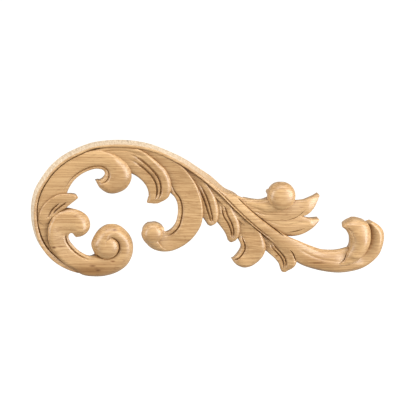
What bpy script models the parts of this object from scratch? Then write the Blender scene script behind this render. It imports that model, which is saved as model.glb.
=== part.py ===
"""A carved wood scroll applique: one flat-backed ornament of overlapping leaves and scrolls.

It stands upright in the XZ plane with its carved face towards -Y and its flat back on Y = 0.
"""

import math

import bmesh
import bpy
from mathutils import Vector

# Driving dimensions, in millimetres
MM = 0.001
SPREAD = 0.35           # the outline is sawn this far outside the drawn edges
EDGE_DROP = 1.1         # how far an edge rounded over 1 mm falls, in mm
DROP_POWER = 0.55       # how fast that fall grows with the width of the rounding
EDGE_CURVE = 2.1        # above 1 the fall is steepest at the very edge
ROUNDING = (0.0, 0.3, 1.0)    # where the lanes of a rounded edge lie, in parts of its width
GOUGE = (-1.0, 0.0, 1.0)      # where the lanes of a groove lie, in parts of its half width
UNDERCUT_LIMIT = 0.32   # the most a wall leans in under a leaf, in parts of the leaf's width
BEHIND = 2.0            # how far each leaf runs behind the back before the back is planed flat
ROWS = 2                # rows of faces from one station of a leaf to the next
BETWEEN = 1             # lanes of faces added between two grooves or edges
BED_REACH = 3.5         # how far the bed of the spine's groove runs in under the leaves
BED_SINK = 1.5          # how far the bed lies below the top of the spine
BED_END = 29            # the spine's last station with a bed
KNOB_SIDES = 16
KNOB_RINGS = 4
BLUNT = 0.74            # below 1 the knob is flatter on top and steeper at its side
TIP_MERGE = 0.05        # corners closer than this become one

# Every leaf is a band between two edges, with the same number of stations on each.
# A point is (x, z). A rise is (station, height at the left edge, in the middle, at the right edge).
# A groove is (measured from, distance at its start, at its end, first station, last station, width, depth),
# with the distance in millimetres from an edge, or as a part of the band's width for "across".
# A round is (station, width of the rounding at the left edge, at the right edge).
# A foot is (station, how far the wall's foot stands outside the left edge, outside the right edge).
# Below 0 the wall leans in under the leaf.

SPINE = dict(
    left=[
        (-87.0, -46.2), (-94.2, -44.8), (-101.9, -41.6), (-109.0, -37.0), (-115.4, -30.6),
        (-120.2, -22.9), (-123.0, -14.5), (-124.4, -6.0), (-124.5, 2.5), (-122.9, 11.0),
        (-119.0, 19.0), (-113.2, 27.6), (-105.7, 34.7), (-97.0, 39.8), (-86.5, 44.1),
        (-76.0, 45.8), (-66.0, 46.1), (-55.4, 45.2), (-44.8, 42.9), (-34.2, 38.6),
        (-23.4, 33.1), (-13.5, 26.7), (-3.9, 20.0), (6.3, 12.9), (15.3, 9.7),
        (22.6, 2.9), (29.7, -2.9), (37.4, -8.6), (45.3, -14.2), (53.0, -18.6),
        (61.5, -22.3), (70.3, -26.1), (79.0, -29.2), (87.5, -30.0), (94.0, -29.4),
        (99.5, -28.0), (104.0, -28.6), (108.4, -27.4), (111.0, -23.8), (111.6, -18.5),
        (111.0, -14.0), (110.2, -11.2),
    ],
    right=[
        (-88.5, -44.6), (-94.0, -43.0), (-100.2, -39.8), (-107.0, -34.8), (-113.2, -28.9),
        (-118.1, -21.7), (-120.9, -13.9), (-122.3, -5.8), (-122.5, 2.3), (-121.1, 10.3),
        (-117.6, 18.2), (-112.1, 26.6), (-104.6, 33.5), (-96.4, 38.4), (-85.8, 43.0),
        (-75.8, 44.2), (-66.0, 44.3), (-55.7, 43.6), (-45.3, 41.4), (-34.8, 37.2),
        (-24.3, 31.7), (-14.5, 25.2), (-5.0, 18.2), (4.2, 10.3), (11.0, 3.8),
        (17.2, -2.0), (23.7, -7.8), (30.7, -13.6), (38.6, -19.8), (48.0, -27.0),
        (56.5, -33.8), (65.3, -39.7), (75.4, -43.4), (86.0, -45.7), (96.2, -46.3),
        (107.1, -44.4), (115.0, -40.4), (121.7, -33.2), (124.2, -24.0), (123.7, -17.0),
        (120.2, -12.3), (115.0, -9.3),
    ],
    rise=[
        (0, 7.5, 7.5, 7.3), (4, 9.0, 8.8, 8.2), (8, 9.2, 9.0, 8.4), (13, 9.6, 9.4, 8.6),
        (16, 10.2, 9.9, 9.4),
        (20, 10.2, 10.6, 10.2), (23, 9.6, 11.6, 11.4), (25, 11.0, 12.3, 11.6), (29, 11.4, 12.2, 10.4),
        (33, 8.8, 11.5, 8.5), (34.5, 8.6, 10.2, 8.4), (36, 7.0, 8.0, 9.4), (38, 3.0, 7.8, 10.4),
        (41, 3.0, 7.0, 9.0),
    ],
    grooves=[],
    rounds=[
        (0, 0.5, 0.6), (20, 0.6, 0.6), (24, 1.0, 0.6), (29, 1.0, 0.8), (32, 2.2, 2.2), (36, 2.4, 4.0),
        (41, 2.0, 4.5),
    ],
    foot=[
        (0, 0, 0), (3, 0.6, 0), (7, 1.0, 0), (14, 0.8, 0), (18, 1.3, 0), (21, 2.6, 0), (22, 3.1, 0),
        (24, 0.3, 0), (29, -2.4, -0.6), (35, -2.6, -1.2), (41, -1.5, -1.2),
    ],
)

OUTER_LEAF = dict(
    left=[
        (-107.0, -34.4), (-112.3, -29.2), (-117.8, -20.5), (-121.2, -10.7), (-122.5, -0.7),
        (-121.4, 8.0), (-118.3, 16.6), (-113.0, 25.2), (-106.0, 32.3), (-99.4, 36.8),
        (-91.5, 40.5), (-82.5, 42.4), (-74.6, 40.2), (-68.7, 37.5), (-63.9, 33.9),
        (-60.7, 29.2), (-59.3, 24.2), (-60.2, 18.9), (-63.3, 14.2), (-69.0, 11.6),
        (-75.0, 11.8), (-80.0, 15.1), (-82.4, 19.0),
    ],
    right=[
        (-104.0, -33.5), (-106.5, -27.0), (-108.0, -19.0), (-109.0, -10.0), (-107.0, 0.0),
        (-103.9, 7.4), (-102.1, 13.7), (-98.7, 20.2), (-94.1, 24.7), (-88.9, 27.6),
        (-84.2, 29.1), (-80.2, 28.9), (-78.3, 28.1), (-77.4, 26.9), (-77.1, 25.6),
        (-77.2, 24.4), (-77.6, 23.2), (-78.3, 22.2), (-79.3, 21.3), (-80.4, 20.8),
        (-81.4, 20.4), (-82.2, 20.1), (-82.8, 19.7),
    ],
    rise=[
        (0, 7.8, 8.0, 8.0), (3, 8.2, 8.2, 7.5), (5, 8.4, 8.4, 7.8), (8, 8.8, 9.2, 8.6), (11, 9.2, 10.3, 9.0),
        (13, 10.8, 11.6, 9.2), (16, 12.4, 12.2, 9.4), (19, 9.6, 10.8, 9.0), (22, 7.0, 7.0, 7.0),
    ],
    grooves=[("right", 2.0, 2.0, 4.4, 22.0, 1.7, 1.1)],
    rounds=[
        (0, 0.6, 1.0), (10, 0.6, 1.0), (12, 2.0, 1.0), (14, 5.5, 1.0), (17, 7.0, 1.0), (20, 4.0, 1.0),
        (22, 1.5, 0.8),
    ],
    foot=[(0, 0, -2), (11, 0, -2), (13, -0.8, -2.6), (19, -1.5, -2.6), (20, -2.6, -1.5), (22, -2.6, -1)],
)

TOP_LEAF = dict(
    left=[
        (-86.0, 40.5), (-80.0, 37.0), (-72.5, 33.5), (-65.0, 29.0), (-59.0, 25.9),
        (-54.7, 23.6), (-50.6, 20.3), (-47.8, 16.7), (-46.3, 13.3), (-45.8, 10.3),
        (-45.9, 7.6), (-46.5, 4.8), (-43.2, 4.2),
    ],
    right=[
        (-84.5, 42.4), (-77.0, 44.0), (-68.5, 44.6), (-60.5, 44.3), (-53.0, 41.8),
        (-47.0, 37.9), (-41.3, 33.4), (-36.6, 29.2), (-33.3, 24.0), (-31.5, 18.5),
        (-31.5, 13.0), (-33.4, 7.7), (-38.2, 4.4),
    ],
    rise=[
        (0, 8.5, 8.8, 9.2), (2, 8.2, 8.8, 9.8), (4, 8.0, 9.4, 11.2), (7, 8.6, 10.2, 12.0),
        (10, 8.8, 9.8, 11.4),
        (12, 7.6, 7.8, 7.8),
    ],
    grooves=[("across", 0.50, 0.32, 2.9, 11.2, 2.4, 1.7), ("across", 0.72, 0.47, 2.6, 11.4, 2.4, 1.7)],
    rounds=[(0, 0.8, 0.6), (4, 1.2, 1.0), (7, 1.2, 3.5), (10, 2.0, 4.5), (12, 1.6, 2.4)],
    foot=[(0, 0, 0), (4, -1.5, -0.5), (7, -2.4, -1.0), (12, -2.4, -1.5)],
)

MIDDLE_SCROLL = dict(
    left=[
        (-60.0, 41.0), (-51.5, 36.5), (-44.0, 30.5), (-37.5, 24.0), (-33.8, 17.5),
        (-31.0, 12.4), (-27.6, 8.9), (-25.5, 4.6), (-24.7, -1.0), (-25.1, -6.0),
        (-26.0, -10.6), (-28.2, -14.0), (-30.6, -15.8), (-32.8, -16.2), (-35.0, -14.4),
        (-37.4, -11.2), (-40.4, -9.8), (-44.0, -10.4),
    ],
    right=[
        (-58.0, 44.4), (-46.5, 42.0), (-35.5, 37.4), (-25.8, 32.0), (-19.2, 25.4),
        (-14.2, 18.2), (-11.0, 11.0), (-9.0, 4.0), (-8.2, -3.2), (-9.0, -11.0),
        (-12.8, -18.4), (-19.0, -24.9), (-26.8, -29.2), (-34.6, -29.9), (-41.4, -27.8),
        (-46.2, -23.2), (-47.6, -17.6), (-46.0, -13.4),
    ],
    rise=[
        (0, 8.2, 8.6, 9.2), (2, 8.0, 8.8, 9.8), (4, 8.0, 9.2, 11.2), (7, 8.8, 10.6, 12.2),
        (10, 8.8, 10.4, 10.6),
        (12, 8.6, 9.0, 9.2), (14, 8.4, 9.6, 9.0), (17, 7.2, 8.5, 7.6),
    ],
    grooves=[("left", 1.8, 1.8, 3.6, 13.4, 1.7, 1.5)],
    rounds=[(0, 0.6, 0.6), (3, 0.8, 1.0), (6, 1.0, 1.4), (10, 1.0, 2.0), (17, 1.0, 2.2)],
    foot=[(0, 0, 0), (4, -1.5, -0.5), (6, -2.6, -1.0), (12, -2.6, -1.0), (14, -2.6, -2.4), (17, -2.6, -2.6)],
)

SCROLL_BUD = dict(
    left=[
        (-38.2, -10.8), (-41.8, -9.8), (-45.9, -11.4), (-48.3, -14.4), (-49.2, -18.0),
        (-47.3, -22.4), (-43.8, -25.8), (-39.0, -28.4), (-33.5, -29.6),
    ],
    right=[
        (-36.2, -11.6), (-34.2, -13.4), (-35.4, -15.6), (-37.6, -17.6), (-38.6, -19.8),
        (-38.0, -22.6), (-36.6, -24.6), (-34.4, -26.9), (-31.5, -28.4),
    ],
    rise=[(0, 8.4, 8.8, 8.4), (3, 8.6, 11.4, 10.8), (5, 9.0, 11.6, 11.2), (8, 8.6, 9.2, 9.0)],
    grooves=[],
    rounds=[(0, 2.0, 0.5), (4, 3.5, 0.8), (8, 2.0, 0.5)],
    foot=[(0, -3, 0), (6, -2.6, 0), (8, -1.5, 0)],
)

FIRST_TONGUE = dict(
    left=[
        (-24.0, 24.0), (-18.5, 16.0), (-14.0, 8.0), (-11.5, 1.0), (-9.4, -3.0),
        (-6.4, -6.3), (-4.2, -9.3), (-2.9, -11.2), (-1.9, -11.8),
    ],
    right=[
        (-19.5, 29.2), (-10.4, 22.8), (-4.2, 16.0), (0.2, 8.6), (2.5, 1.4),
        (3.0, -4.6), (2.0, -8.6), (0.4, -10.9), (-0.9, -11.8),
    ],
    rise=[(0, 7.8, 8.4, 9.4), (3, 8.0, 9.6, 11.6), (6, 8.2, 9.6, 11.4), (8, 7.2, 7.8, 7.6)],
    grooves=[("across", 0.45, 0.42, 1.2, 6.4, 1.9, 1.5), ("across", 0.65, 0.57, 1.0, 6.4, 1.9, 1.5)],
    rounds=[(0, 0.6, 0.8), (4, 0.8, 3.2), (8, 1.2, 2.4)],
    foot=[(0, 0, 0), (4, -1.0, -0.8), (8, -1.5, -1.2)],
)

SECOND_TONGUE = dict(
    left=[
        (-8.0, 15.5), (-1.5, 8.0), (0.5, 0.5), (1.4, -6.3), (5.0, -10.8),
        (8.6, -15.3), (10.7, -19.0), (11.9, -22.0), (13.2, -23.5),
    ],
    right=[
        (-4.8, 18.9), (5.0, 11.0), (11.0, 4.4), (14.8, -2.0), (17.8, -7.7),
        (18.9, -13.5), (18.3, -18.4), (16.7, -22.4), (14.7, -23.7),
    ],
    rise=[(0, 7.8, 8.2, 9.4), (3, 8.0, 9.6, 11.4), (6, 8.2, 9.8, 11.4), (8, 7.2, 7.8, 7.6)],
    grooves=[("across", 0.45, 0.42, 1.5, 6.8, 1.9, 1.5), ("across", 0.65, 0.57, 1.2, 6.8, 1.9, 1.5)],
    rounds=[(0, 0.6, 0.8), (4, 0.8, 3.2), (8, 1.2, 2.4)],
    foot=[(0, 0, 0), (4, -1.0, -0.8), (8, -1.5, -1.2)],
)

HOOKED_LEAF = dict(
    left=[
        (8.0, 3.0), (13.0, -4.0), (16.4, -11.0), (18.0, -16.6), (18.8, -20.6),
        (20.7, -24.2), (21.3, -27.8), (20.3, -30.8), (18.8, -33.0), (17.4, -34.7),
        (16.5, -35.9), (16.3, -36.8),
    ],
    right=[
        (13.2, 4.2), (20.2, -2.4), (27.0, -8.8), (32.5, -14.5), (35.9, -20.0),
        (38.2, -26.2), (37.6, -31.8), (35.0, -36.6), (30.2, -40.7), (24.4, -42.2),
        (19.6, -40.6), (17.0, -38.2),
    ],
    rise=[(0, 7.8, 8.4, 9.6), (3, 8.4, 9.6, 11.6), (5, 9.2, 10.8, 11.8), (8, 8.8, 10.0, 9.6),
          (11, 7.0, 7.2, 7.2)],
    grooves=[("left", 1.9, 1.7, 3.0, 10.4, 1.8, 1.5)],
    rounds=[(0, 0.6, 0.6), (3, 0.8, 1.8), (6, 1.0, 4.5), (11, 0.8, 2.4)],
    foot=[(0, 0, 0), (3, -1.5, -0.5), (6, -2.4, -1.2), (9, -2.6, -1.2), (11, -2.0, -1.2)],
)

LAST_TONGUE = dict(
    left=[
        (32.0, -13.5), (35.4, -20.0), (36.8, -27.0), (41.6, -31.5), (46.0, -35.2),
        (49.5, -39.3), (51.0, -43.2), (52.4, -45.6),
    ],
    right=[
        (37.6, -17.4), (45.5, -22.4), (52.0, -26.0), (57.0, -30.0), (60.5, -34.0),
        (60.9, -38.4), (59.0, -42.8), (55.0, -45.8),
    ],
    rise=[(0, 7.8, 8.4, 10.2), (2, 8.0, 9.8, 11.8), (5, 8.4, 9.8, 11.8), (7, 7.2, 7.8, 7.6)],
    grooves=[("across", 0.44, 0.22, 1.3, 6.2, 1.9, 1.5), ("across", 0.62, 0.36, 1.0, 6.2, 1.9, 1.5)],
    rounds=[(0, 0.6, 0.8), (3, 0.8, 3.0), (7, 0.8, 2.4)],
    foot=[(0, 0, 0), (3, -1.5, -0.8), (7, -1.5, -1.2)],
)

UPPER_LEAF = dict(
    left=[
        (12.0, 11.6), (17.3, 9.3), (23.2, 7.4), (30.0, 6.6), (38.0, 6.9),
        (46.0, 8.0), (52.0, 7.0), (58.0, 6.4), (64.6, 7.0), (70.2, 9.0), (74.9, 10.3),
    ],
    right=[
        (14.0, 8.5), (20.0, 4.0), (26.0, -0.8), (32.5, -5.0), (39.5, -7.5),
        (46.5, -8.0), (53.0, -7.0), (59.5, -5.0), (66.6, -3.6), (72.0, 1.8), (75.2, 9.5),
    ],
    rise=[(0, 7.8, 8.4, 9.4), (3, 8.2, 9.6, 9.4), (6, 9.2, 10.4, 9.4), (8, 8.8, 9.8, 8.8),
          (10, 6.8, 7.2, 7.0)],
    grooves=[],
    rounds=[(0, 0.8, 0.4), (6, 1.2, 0.4), (8, 1.4, 0.8), (10, 1.2, 0.8)],
    foot=[(0, -2.0, 0), (2, -2.7, 0), (8, -2.7, -0.8), (10, -2.0, -1.0)],
)

LOWER_LEAF = dict(
    left=[
        (24.0, -0.5), (32.0, -3.6), (40.0, -5.6), (47.0, -6.6), (54.0, -5.6),
        (61.0, -4.2), (67.0, -6.0), (71.8, -7.0), (76.2, -7.4),
    ],
    right=[
        (28.0, -3.0), (36.0, -9.2), (43.0, -14.0), (50.0, -17.8), (57.0, -19.0),
        (64.6, -17.6), (70.6, -14.2), (74.6, -10.6), (76.5, -7.8),
    ],
    rise=[(0, 8.6, 8.8, 9.4), (4, 9.3, 10.4, 9.2), (6, 9.2, 10.2, 8.8), (8, 7.0, 7.2, 7.0)],
    grooves=[],
    rounds=[(0, 0.4, 0.8), (5, 0.4, 1.8), (6.5, 0.8, 1.8), (8, 0.8, 1.0)],
    foot=[(0, 0, 0), (5, 0, -1.2), (6, -2.4, -1.2), (8, -2.4, -1.2)],
)

SIDE_LEAF = dict(
    left=[
        (-121.0, -8.0), (-120.8, -2.6), (-118.0, 3.6), (-113.6, 7.9), (-108.2, 10.7),
        (-102.6, 11.2), (-97.6, 10.4), (-95.0, 8.8),
    ],
    right=[
        (-117.0, -12.0), (-112.0, -7.0), (-109.0, -2.5), (-106.4, -0.6), (-103.6, 1.2),
        (-100.9, 3.4), (-97.6, 6.2), (-94.6, 8.2),
    ],
    rise=[(0, 8.6, 8.6, 8.0), (1, 9.8, 9.2, 8.6), (4, 10.2, 10.0, 9.0), (6, 9.4, 9.6, 8.8),
          (7, 7.4, 7.6, 7.4)],
    grooves=[("across", 0.64, 0.50, 0.8, 3.8, 1.7, 1.4), ("across", 0.84, 0.62, 1.3, 5.0, 1.7, 1.4)],
    rounds=[(0, 0.6, 0.6), (7, 0.8, 0.8)],
    foot=[(0, 0, 0), (4, -0.8, -1.0), (5, -2.6, -1.2), (7, -2.2, -1.2)],
)

LOWER_SCROLL = dict(
    left=[
        (-94.6, -19.7), (-90.0, -18.9), (-86.5, -15.3), (-85.7, -10.3), (-88.3, -4.7),
        (-94.4, -0.8), (-101.5, 0.4), (-108.2, -2.0), (-112.6, -7.2), (-114.4, -14.0),
        (-113.9, -21.2), (-111.2, -28.2), (-107.0, -33.6), (-101.4, -38.6), (-95.3, -42.6),
        (-88.9, -46.6), (-81.1, -47.9), (-73.1, -47.7), (-65.3, -45.4), (-58.9, -40.8),
        (-55.5, -34.6), (-54.7, -27.8), (-56.4, -21.2), (-60.4, -15.8), (-66.0, -11.9),
        (-72.4, -11.3), (-77.6, -13.9), (-81.7, -18.9), (-83.8, -25.2), (-80.2, -33.4),
    ],
    right=[
        (-95.8, -18.9), (-96.6, -17.6), (-97.4, -16.7), (-98.2, -16.3), (-99.0, -16.3),
        (-99.6, -16.7), (-100.0, -17.3), (-100.3, -18.1), (-100.4, -19.2), (-100.1, -20.6),
        (-99.2, -22.6), (-97.4, -25.0), (-95.0, -27.6), (-91.8, -30.2), (-88.0, -32.3),
        (-84.0, -33.6), (-79.6, -33.6), (-75.2, -34.2), (-70.8, -33.8), (-67.3, -31.6),
        (-65.5, -28.4), (-65.4, -25.2), (-66.6, -22.4), (-68.4, -20.6), (-70.6, -19.6),
        (-72.6, -19.6), (-74.2, -20.6), (-75.0, -22.6), (-75.0, -24.8), (-73.6, -26.8),
    ],
    rise=[
        (0, 7.6, 8.6, 8.4), (3, 9.2, 12.4, 9.4), (6, 9.4, 11.0, 9.0), (9, 12.4, 10.8, 8.8),
        (12, 10.8, 9.8, 8.6), (15, 8.8, 10.2, 8.8), (18, 8.6, 10.8, 9.2), (21, 8.4, 10.8, 9.6),
        (24, 8.6, 11.4, 10.4), (26, 8.8, 12.4, 12.6), (28, 9.0, 12.4, 13.2), (29, 8.0, 9.6, 12.4),
    ],
    grooves=[("right", 2.0, 2.0, 7.2, 15.4, 1.6, 1.2)],
    rounds=[
        (0, 3.0, 0.8), (3, 6.5, 0.8), (6, 3.4, 0.8), (8, 3.0, 0.8), (12, 2.4, 0.9), (15, 2.0, 1.2),
        (18, 3.6, 1.6), (23, 4.0, 1.6), (26, 4.0, 1.0), (29, 3.0, 0.6),
    ],
    foot=[(0, -1.0, -1.0), (3, -1.5, -1.5), (5, -2.7, -2), (7, -1.5, -2.6), (9, 0, -2.7), (14, 0, -2.7),
          (15.2, -0.8, -2.7), (16.2, -1.2, 0), (22, -1.5, 0), (24, -2.7, 0), (29, -2.7, 0)],
)

END_LOBE = dict(
    left=[
        (100.5, -7.4), (96.0, -9.2), (93.0, -12.0), (95.8, -14.4), (97.9, -17.9),
        (99.4, -22.2), (99.6, -26.8), (97.8, -31.2), (96.0, -35.2), (92.0, -39.0),
    ],
    right=[
        (104.2, -7.4), (108.0, -8.4), (110.8, -10.0), (112.6, -13.4), (113.4, -18.0),
        (113.3, -23.0), (111.9, -28.0), (109.0, -32.8), (105.0, -36.8), (98.5, -40.0),
    ],
    rise=[(0, 8.6, 9.2, 9.0), (2, 9.6, 12.8, 11.4), (5, 10.6, 15.8, 13.6), (7, 10.8, 14.8, 13.0),
          (8, 11.2, 13.2, 12.2), (9, 10.8, 11.8, 11.2)],
    grooves=[],
    rounds=[(0, 1.5, 1.5), (2, 1.2, 4.0), (5, 1.4, 5.0), (9, 1.0, 2.4)],
    foot=[(0, -3, -1.0), (3, -2.6, 0), (6, -2.0, 0), (9, 0, 0)],
)

BUD_STALK = dict(
    left=[(22.0, 6.8), (29.0, 6.0), (35.0, 6.4), (40.0, 8.6), (44.0, 12.0)],
    right=[(24.0, 2.5), (31.0, 0.2), (38.0, -1.6), (44.0, -1.4), (49.0, 1.0)],
    rise=[(0, 8.4, 9.2, 8.6), (2, 9.4, 11.2, 9.4), (4, 13.0, 14.2, 10.5)],
    grooves=[],
    rounds=[(0, 0.8, 0.8), (4, 0.8, 0.8)],
    foot=[(0, 0, 0), (2, -1.5, 0), (4, -1.5, 0)],
)

LEAVES = [
    SPINE, OUTER_LEAF, TOP_LEAF, MIDDLE_SCROLL, SCROLL_BUD, FIRST_TONGUE, SECOND_TONGUE, HOOKED_LEAF,
    LAST_TONGUE, UPPER_LEAF, LOWER_LEAF, SIDE_LEAF, LOWER_SCROLL, END_LOBE, BUD_STALK,
]

# A knob is (x, z, radius, radius of its foot, height of its side, height of its top)
KNOBS = [
    (47.1, 10.3, 9.9, 6.7, 8.0, 16.4),     # the bud above the stem
    (39.7, 11.2, 2.3, 1.4, 9.4, 12.6),     # the small curl on its left
    (-42.1, -16.6, 7.2, 5.0, 7.2, 13.8),   # the bud at the end of the middle scroll
    (-73.3, -26.6, 8.4, 8.4, 7.0, 13.4),   # the eye of the lower scroll
]


def on_curve(points, station):
    """The point at a station of a smooth curve through the given points."""
    last = len(points) - 1
    start = min(int(station), last - 1)
    t = station - start
    before, a, b, after = (Vector(points[min(max(start + k, 0), last)]) for k in (-1, 0, 1, 2))
    return 0.5 * (2 * a + (b - before) * t + (2 * before - 5 * a + 4 * b - after) * t**2
                  + (3 * a - before - 3 * b + after) * t**3)


def between(rise, station):
    """The heights at the left edge, middle and right edge at a station."""
    for (first, *low), (second, *high) in zip(rise, rise[1:]):
        if station <= second:
            t = (station - first) / (second - first)
            t = t * t * (3 - 2 * t)
            return [a + (b - a) * t for a, b in zip(low, high)]
    return rise[-1][1:]


def cuts_at(grooves, station, width):
    """The centre, half width and depth of each groove at a station."""
    cuts = []
    for measured, first, last, start, end, breadth, depth in grooves:
        along = min(max((station - start) / (end - start), 0.0), 1.0)
        centre = first + (last - first) * along
        centre = {"left": centre, "right": width - centre, "across": width * centre}[measured]
        half = min(0.5 * breadth, 0.13 * width)
        centre = min(max(centre, 0.12 * width + half), 0.88 * width - half)
        fade = min(max(4 * min(station - start, end - station) / (end - start), 0.0), 1.0)
        cuts.append((centre, half, depth * fade * half / (0.5 * breadth)))
    return sorted(cuts)


def lanes_at(leaf, station, width):
    """The distances of a leaf's lanes from its left edge, and how far each one is cut down."""
    near_edge, far_edge = (min(size, 0.45 * width) for size in between(leaf["rounds"], station))
    cuts = cuts_at(leaf["grooves"], station, width)
    groups = [[part * near_edge for part in ROUNDING]]
    groups += [[centre + part * half for part in GOUGE] for centre, half, depth in cuts]
    groups += [[width - part * far_edge for part in reversed(ROUNDING)]]
    lanes = list(groups[0])
    for group, following in zip(groups, groups[1:]):
        near, far = group[-1], following[0]
        lanes += [near + (far - near) * k / (BETWEEN + 1) for k in range(1, BETWEEN + 1)] + following
    lanes.sort()
    falls = []
    for lane in lanes:
        fall = 0
        for inward, edge in ((lane, near_edge), (width - lane, far_edge)):
            fall += EDGE_DROP * edge**DROP_POWER * (1 - min(inward, edge) / edge) ** EDGE_CURVE
        gouged = [depth * max(1 - abs(lane - centre) / half, 0) for centre, half, depth in cuts]
        falls.append(fall + max(gouged, default=0))
    return list(zip(lanes, falls))


def leaf_mesh(leaf, number):
    """One leaf: a grid bent between its edges, raised, and drawn back behind the flat of the back."""
    rows = (len(leaf["left"]) - 1) * ROWS
    table = []
    for row in range(rows + 1):
        station = row / ROWS
        left, right = (on_curve(leaf[side], station) for side in ("left", "right"))
        outward = (right - left).normalized() * SPREAD
        left, right = left - outward, right + outward
        low, middle, high = between(leaf["rise"], station)
        across = right - left
        width = across.length
        leans = between(leaf["foot"], station)
        near_foot, far_foot = (max(lean, -UNDERCUT_LIMIT * width) / width for lean in leans)
        for distance, cut in lanes_at(leaf, station, width):
            t = distance / width
            height = low + (4 * middle - 3 * low - high) * t + 2 * (low + high - 2 * middle) * t * t - cut
            top = left + across * t
            base = left + across * (t * (1 + far_foot) - (1 - t) * near_foot)
            table.append((Vector((top.x, -height, top.y)) * MM, Vector((base.x, 0, base.y)) * MM))
    mesh = bmesh.new()
    feet = mesh.verts.layers.float_vector.new("foot")
    bmesh.ops.create_grid(mesh, x_segments=len(table) // (rows + 1) - 1, y_segments=rows, size=1)
    for vert, (top, base) in zip(mesh.verts, table):
        vert.co = top
        vert[feet] = base
    bmesh.ops.remove_doubles(mesh, verts=mesh.verts, dist=TIP_MERGE * MM)
    copy = bmesh.ops.extrude_face_region(mesh, geom=mesh.faces[:], use_keep_orig=True)
    for part in copy["geom"]:
        if isinstance(part, bmesh.types.BMVert):
            part.co = part[feet]
            part.co.y = (BEHIND + 0.1 * number) * MM
    bmesh.ops.recalc_face_normals(mesh, faces=mesh.faces)
    return mesh


def knob_mesh(x, z, radius, foot, side, top, number):
    """A round knob: a quarter profile spun about its own axis."""
    mesh = bmesh.new()
    behind = -(BEHIND + 0.1 * number)
    profile = [(0.0, behind), (foot, behind), (radius, side)]
    for ring in range(1, KNOB_RINGS):
        angle = 0.5 * math.pi * ring / KNOB_RINGS
        profile.append((radius * math.cos(angle) ** BLUNT, side + (top - side) * math.sin(angle) ** BLUNT))
    profile.append((0.0, top))
    corners = [mesh.verts.new(Vector((x + out, -height, z)) * MM) for out, height in profile]
    edges = [mesh.edges.new(pair) for pair in zip(corners, corners[1:])]
    bmesh.ops.spin(mesh, geom=corners + edges, cent=Vector((x, 0, z)) * MM, axis=(0, 1, 0),
                   angle=2 * math.pi, steps=KNOB_SIDES, use_merge=True)
    bmesh.ops.remove_doubles(mesh, verts=mesh.verts, dist=TIP_MERGE * MM)
    bmesh.ops.recalc_face_normals(mesh, faces=mesh.faces)
    return mesh


def bed_of(spine):
    """The wood at the bottom of the groove between the spine and the leaves that spring from it."""
    pairs = [(Vector(left), Vector(right)) for left, right in zip(spine["left"], spine["right"])][:BED_END + 1]
    outer = [0.5 * (left + right) for left, right in pairs]
    inner = [right + (right - left).normalized() * BED_REACH for left, right in pairs]
    levels = [between(spine["rise"], station)[2] - BED_SINK for station in range(BED_END + 1)]
    return dict(
        left=outer,
        right=inner,
        rise=[(station, level, level, level) for station, level in enumerate(levels)],
        grooves=[],
        rounds=[(0, 1, 1), (BED_END, 1, 1)],
        foot=[(0, 0, 0), (BED_END, 0, 0)],
    )


def add_object(name, mesh):
    data = bpy.data.meshes.new(name)
    mesh.to_mesh(data)
    mesh.free()
    obj = bpy.data.objects.new(name, data)
    bpy.context.collection.objects.link(obj)
    return obj


def join(whole, addition):
    """Fuses a second solid into the first."""
    union = whole.modifiers.new("union", "BOOLEAN")
    union.operation = "UNION"
    union.solver = "MANIFOLD"
    union.object = addition
    evaluated = whole.evaluated_get(bpy.context.evaluated_depsgraph_get())
    fused = bpy.data.meshes.new_from_object(evaluated)
    whole.modifiers.clear()
    whole.data = fused
    bpy.data.objects.remove(addition)


def plane_back(obj):
    """Planes the back flat on Y = 0."""
    mesh = bmesh.new()
    mesh.from_mesh(obj.data)
    everything = mesh.verts[:] + mesh.edges[:] + mesh.faces[:]
    cut = bmesh.ops.bisect_plane(mesh, geom=everything, plane_co=(0, 0, 0), plane_no=(0, 1, 0),
                                 clear_outer=True, dist=1e-7)
    rim = [edge for edge in cut["geom_cut"] if isinstance(edge, bmesh.types.BMEdge)]
    bmesh.ops.triangle_fill(mesh, use_beauty=True, use_dissolve=False, edges=rim)
    bmesh.ops.recalc_face_normals(mesh, faces=mesh.faces)
    mesh.to_mesh(obj.data)
    mesh.free()


def beech():
    material = bpy.data.materials.new("pale beech")
    material.use_nodes = True
    shader = material.node_tree.nodes["Principled BSDF"]
    shader.inputs["Base Color"].default_value = (0.62, 0.40, 0.20, 1)
    shader.inputs["Roughness"].default_value = 0.45
    shader.inputs["Metallic"].default_value = 0.0
    return material


def main():
    for obj in list(bpy.data.objects):
        bpy.data.objects.remove(obj)
    leaves = LEAVES + [bed_of(SPINE)]
    solids = [add_object("leaf", leaf_mesh(leaf, number)) for number, leaf in enumerate(leaves)]
    for number, knob in enumerate(KNOBS, start=len(leaves)):
        solids.append(add_object("knob", knob_mesh(*knob, number)))
    applique = solids[0]
    applique.name = "scroll_applique"
    for solid in solids[1:]:
        join(applique, solid)
    plane_back(applique)
    applique.data.name = "scroll_applique"
    applique.data.materials.clear()
    applique.data.materials.append(beech())
    applique.data.shade_smooth()
    applique.data.set_sharp_from_angle(angle=math.radians(40))


main()
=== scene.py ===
# %% [markdown]
# A carved beech scroll applique
# This lesson carves a flat-backed furniture ornament out of bands. Every leaf, tongue and curl of such a
# carving is a strip of wood between two edges, so one small helper makes them all, and only the edges
# differ.

# %% Load the frame
import math

import bmesh
import bpy
from mathutils import Matrix, Vector


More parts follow.
